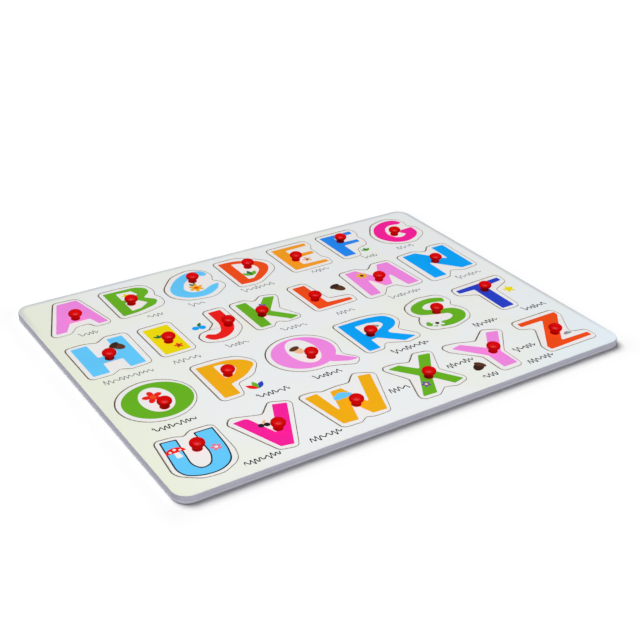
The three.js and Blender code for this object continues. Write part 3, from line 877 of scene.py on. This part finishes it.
boardMarks = {
    "strokes": [                                  # from, to, height above the near edge
        (21, 33, 171.5), (66, 76, 171.5), (95, 105, 171.5), (133, 156, 171.5), (186, 199, 171.5),
        (228, 239, 171.5), (257, 270, 171.5), (12, 42, 114.8), (55, 72, 114.8), (90, 104, 114.8),
        (128, 145, 114.8), (168, 181, 114.8), (209, 233, 114.8), (264, 284, 114.8), (15, 40, 58.6),
        (78, 98, 58.6), (115, 133, 58.6), (170, 196, 58.6), (232, 250, 58.6), (272, 290, 58.6),
        (41, 62, 8.4), (80, 100, 8.6), (143, 156, 25), (187, 206, 29), (198, 208, 9.5), (233, 249, 23),
        (231, 250, 8.5)],
    "strokeHeight": 4.4,
    "inks": [                                     # from this height to that one, and how wide the stroke is
        ("pen", 0, 100, 0.85),
        ("pencil", 100, 225, 0.66),
    ],
    "motifs": [
        sprig(236.8, 179.6, 5, ["green", "leaf", "green"]),
        berries(86.5, 144, 7, "azure", "leaf"),
        acorn(188.5, 144, 9.5, "brown", "umber", 2.0),
        sprig(83, 66, 8, ["royal", "green", "scarlet"]),
        star(283, 85, 5, "yellow"),
        acorn(203, 20, 8.5, "umber", "brown", 0.6),
    ],
}


def makeBoardMarks(look):
    shapes = []
    for ink, low, high, width in look["inks"]:
        shapes.append((ink, [penLoop(left, right, height, look["strokeHeight"], width)
                             for left, right, height in look["strokes"] if low < height < high]))
    for motif in look["motifs"]:
        shapes += motif
    marks = flatPrint("boardMarks", shapes, boardLow.xy / mm)
    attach(marks, "board")


makeBoardMarks(boardMarks)
print("board marks ready")


# The peg: turned once, ring by ring, then copied onto every letter

pegShape = {
    "sides": 48,
    "spigotRadius": 1.45 * mm,
    "spigotDepth": 2.5 * mm,
    "footRadius": 2.85 * mm,
    "footSeam": 0.01 * mm,                        # this and the next heights lie above the letter's face
    "footEdge": 0.2 * mm,
    "neckRadius": 2.65 * mm,
    "neckFlare": 0.04 * mm,
    "flareTop": 0.6 * mm,
    "neckMiddle": 1.2 * mm,
    "neckTop": 1.8 * mm,
    "headRadius": 4.25 * mm,
    "widest": 3.7 * mm,
    "crown": 2.0 * mm,
    "headSteps": 10,
    "smoothBelow": math.radians(50),
}


def pegRings(shape):                              # (height above the face, radius), from the spigot up
    rings = [(-shape["spigotDepth"], shape["spigotRadius"]), (0, shape["spigotRadius"]),
             (shape["footSeam"], shape["footRadius"]), (shape["footEdge"], shape["footRadius"]),
             (shape["flareTop"], shape["neckRadius"] + shape["neckFlare"]),
             (shape["neckMiddle"], shape["neckRadius"])]
    steps = shape["headSteps"]
    neckTurn = math.acos(shape["neckRadius"] / shape["headRadius"])
    under = (shape["widest"] - shape["neckTop"]) / math.sin(neckTurn)
    for k in range(-steps, steps):
        fullTurn, half = (neckTurn, under) if k < 0 else (math.pi / 2, shape["crown"])
        turn = fullTurn * k / steps
        rings.append((shape["widest"] + half * math.sin(turn), shape["headRadius"] * math.cos(turn)))
    return rings


def makePeg(shape):
    rings = pegRings(shape)
    bpy.ops.object.select_all(action='DESELECT')
    bpy.ops.mesh.primitive_circle_add(vertices=shape["sides"], radius=rings[0][1], fill_type='NGON',
                                      location=(0, 0, rings[0][0]))
    peg = bpy.context.active_object
    bpy.ops.object.transform_apply(location=True)
    bpy.ops.object.mode_set(mode='EDIT')
    bpy.ops.mesh.select_all(action='SELECT')
    for (low, lowRadius), (high, highRadius) in zip(rings, rings[1:]):
        spread = highRadius / lowRadius
        bpy.ops.mesh.extrude_region_move(TRANSFORM_OT_translate={"value": (0, 0, high - low)})
        bpy.ops.transform.resize(value=(spread, spread, 1))
    tip = shape["widest"] + shape["crown"] - rings[-1][0]
    bpy.ops.mesh.extrude_region_move(TRANSFORM_OT_translate={"value": (0, 0, tip)})
    bpy.ops.mesh.merge(type='CENTER')
    bpy.ops.mesh.select_all(action='SELECT')
    bpy.ops.mesh.normals_make_consistent(inside=False)
    bpy.ops.object.mode_set(mode='OBJECT')
    bpy.ops.object.shade_smooth_by_angle(angle=shape["smoothBelow"])
    addMaterials(peg, pegPlastic)
    return peg


def standPeg(pattern, key):
    peg = pattern.copy()
    peg.data = pattern.data.copy()
    peg.name = "peg" + key
    bpy.context.scene.collection.objects.link(peg)
    peg.data.transform(Matrix.Translation((*pegCentre(key), faceHeight * mm)))
    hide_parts("peg_" + key)
    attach(peg, "piece_" + key)


pegPattern = makePeg(pegShape)
for key in alphabet:
    standPeg(pegPattern, key)
bpy.data.objects.remove(pegPattern)
print("pegs:", len(alphabet))


# Floor, light and camera

studio = {
    "floorSize": 6.0,
    "floorColour": (0.98, 0.98, 0.98, 1),
    "floorRoughness": 0.9,
    "glow": (0.02, 0.11, 0.3),                    # camera and mirror rays only: the floor reads as white far out, and is painted darker near the board as shade around its foot
    "glowReach": (0, 0.02, 0.3),                  # how far from the board
    "sky": 0.13,
    "suns": [                                     # place, strength, how wide it looks, what it lights
        ((-0.06, 1.0, 1.0), 2.67, math.radians(45), "board"),
        ((-0.2, 0.8, 1.05), 3.2, math.radians(45), "floor"),
        ((-0.12, -0.18, 1.0), 2.36, math.radians(15), "pegs"),
    ],
    "lamps": [                                    # place, width, height, power, what it lights
        ((-0.25, -0.55, 0.8), 0.5, 0.5, 2.7, "board"),
        ((0.05, -1.2, 0.16), 0.8, 0.2, 2.1, "sides"),
        ((-0.055, -0.083, 1.0), 0.85, 0.14, 27.0, "gloss"),
    ],
}


def seenByCamera(tree):
    path = addNode(tree, 'ShaderNodeLightPath')
    mirrored = mathNode(tree, 'MAXIMUM', path.outputs['Is Glossy Ray'], path.outputs['Is Transmission Ray'])
    return mathNode(tree, 'MAXIMUM', path.outputs['Is Camera Ray'], mirrored)


def makeFloor(look):
    bpy.ops.object.select_all(action='DESELECT')
    bpy.ops.mesh.primitive_plane_add(size=look["floorSize"], location=(0, 0, 0))
    floor = bpy.context.active_object
    floor.name = "floor"
    material, tree, shader, vector = newMaterial("floorWhite")
    shader.inputs['Base Color'].default_value = look["floorColour"]
    shader.inputs['Roughness'].default_value = look["floorRoughness"]
    shader.inputs['Specular IOR Level'].default_value = 0
    # painted shade: the glow is weakest at the board and rises away from it
    away = distanceNode(tree, vector, 0)
    near, middle, far = look["glowReach"]
    strength = mathNode(tree, 'ADD', rangeNode(tree, away, near, middle, look["glow"][0], look["glow"][1]),
                        rangeNode(tree, away, middle, far, 0, look["glow"][2] - look["glow"][1]))
    glow = addNode(tree, 'ShaderNodeEmission')
    tree.links.new(mathNode(tree, 'MULTIPLY', seenByCamera(tree), strength), glow.inputs['Strength'])
    both = addNode(tree, 'ShaderNodeAddShader')
    tree.links.new(shader.outputs[0], both.inputs[0])
    tree.links.new(glow.outputs[0], both.inputs[1])
    tree.links.new(both.outputs[0], tree.nodes['Material Output'].inputs['Surface'])
    addMaterials(floor, material)


def makeSky(look):
    world = bpy.data.worlds.new("studio")
    bpy.context.scene.world = world
    world.use_nodes = True
    tree = world.node_tree
    back = tree.nodes['Background']
    back.inputs['Color'].default_value = (1, 1, 1, 1)
    tree.links.new(rangeNode(tree, seenByCamera(tree), 0, 1, look["sky"], 1), back.inputs['Strength'])


def gather(name, wanted):                         # objects that a lamp lights, or that cast its shadow
    group = bpy.data.collections.new(name)
    for obj in bpy.data.objects:
        if obj.type == 'MESH' and obj.name.startswith(wanted):
            group.objects.link(obj)
    return group


def addLamp(kind, place, lit, casters):           # aimed at the middle of the board
    bpy.ops.object.light_add(type=kind, location=place)
    lamp = bpy.context.active_object
    lamp.rotation_euler = (-Vector(place)).to_track_quat('-Z', 'Y').to_euler()
    lamp.light_linking.receiver_collection = lit
    lamp.light_linking.blocker_collection = casters
    return lamp


def makeLamps(look):
    sheets = ("faceSheet", "backSheet", "letterPiece")
    lit = {
        "board": gather("litBoard", sheets + ("letterPrint", "boardMarks")),
        "floor": gather("litFloor", "floor"),
        "sides": gather("litSides", sheets),
        "pegs": gather("litPegs", tuple("peg" + key for key in alphabet)),
    }
    lit["gloss"] = lit["pegs"]                    # a strip that shows in the gloss of the pegs only
    casters = dict(lit, board=lit["sides"], floor=lit["sides"])
    for place, strength, width, group in look["suns"]:
        sun = addLamp('SUN', place, lit[group], casters[group])
        sun.data.energy = strength
        sun.data.angle = width
    for place, width, height, power, group in look["lamps"]:
        lamp = addLamp('AREA', place, lit[group], casters[group])
        lamp.visible_diffuse = group != "gloss"
        lamp.data.shape = 'RECTANGLE'
        lamp.data.size = width
        lamp.data.size_y = height
        lamp.data.energy = power


viewPoint = {
    "place": (-0.33596, -0.50939, 0.34667),
    "aim": (0.00970, 0.00880, 0.0),
    "roll": math.radians(1.233),
    "lens": 64.11,
    "sensor": 36.0,
}


def makeCamera(look):
    bpy.ops.object.camera_add()
    camera = bpy.context.active_object
    ahead = Vector(look["aim"]) - Vector(look["place"])
    level = ahead.to_track_quat('-Z', 'Y').to_matrix().to_4x4()
    camera.matrix_world = Matrix.Translation(look["place"]) @ level @ Matrix.Rotation(look["roll"], 4, 'Z')
    camera.data.lens = look["lens"]
    camera.data.sensor_width = look["sensor"]
    camera.data.clip_start = 0.01
    bpy.context.scene.camera = camera


makeFloor(studio)
makeSky(studio)
makeLamps(studio)
makeCamera(viewPoint)
bpy.context.scene.view_settings.view_transform = 'Standard'
print("studio ready")
